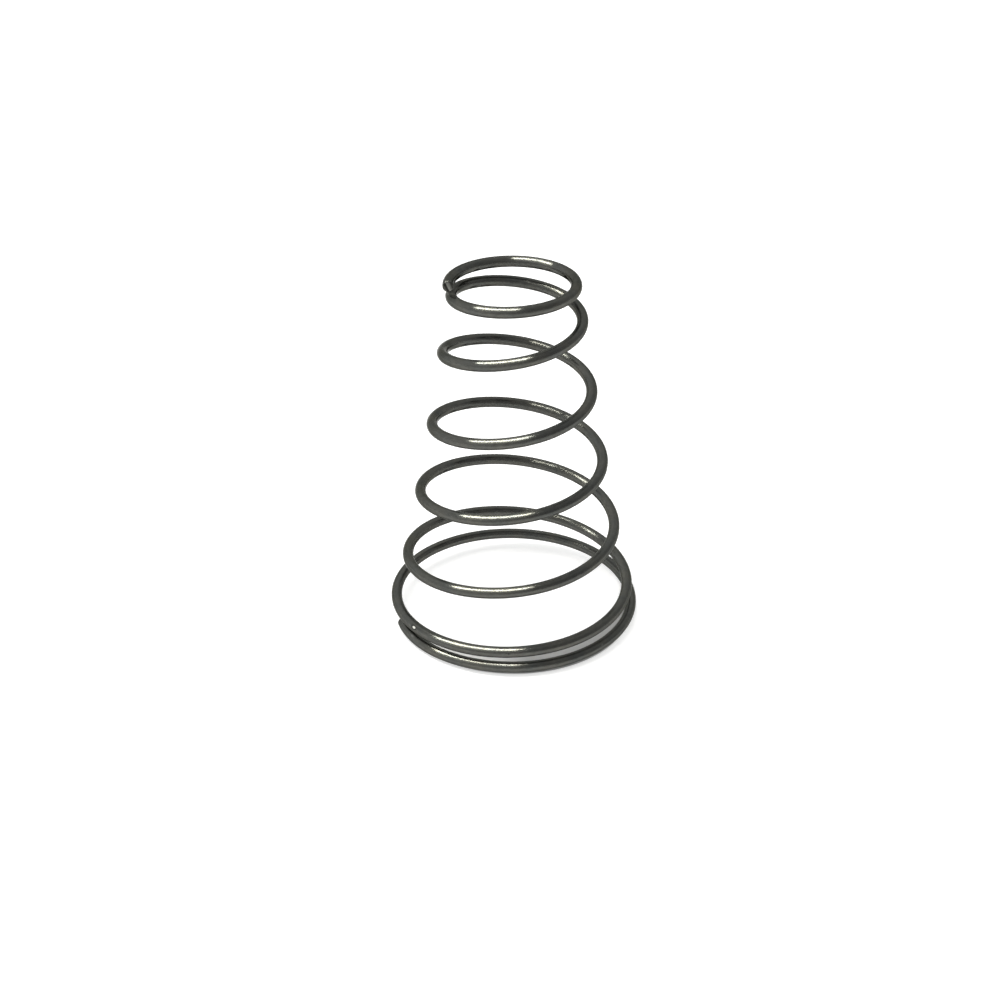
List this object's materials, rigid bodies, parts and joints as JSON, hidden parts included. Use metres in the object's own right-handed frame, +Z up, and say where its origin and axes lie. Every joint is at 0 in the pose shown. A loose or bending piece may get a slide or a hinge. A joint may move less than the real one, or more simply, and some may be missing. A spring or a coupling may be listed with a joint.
{
  "type": "caliper piston spring",
  "caption": "Conical coil compression spring of round steel wire, with closed end coils left unground and sheared wire ends.",
  "frame": {"origin": "centre of the bounding box's underside, on the coil axis, level with the lowest point of the large end", "axes": "+Z up the coil axis from the large end to the small end; +X to the right and -Y towards the viewer in the picture"},
  "size_m": [0.0244, 0.0244, 0.0348],
  "materials": {
    "wire": "dark oiled spring steel, satin"
  },
  "bodies": {
    "root": {"coil_wire": "wire"}
  },
  "joints": []
}
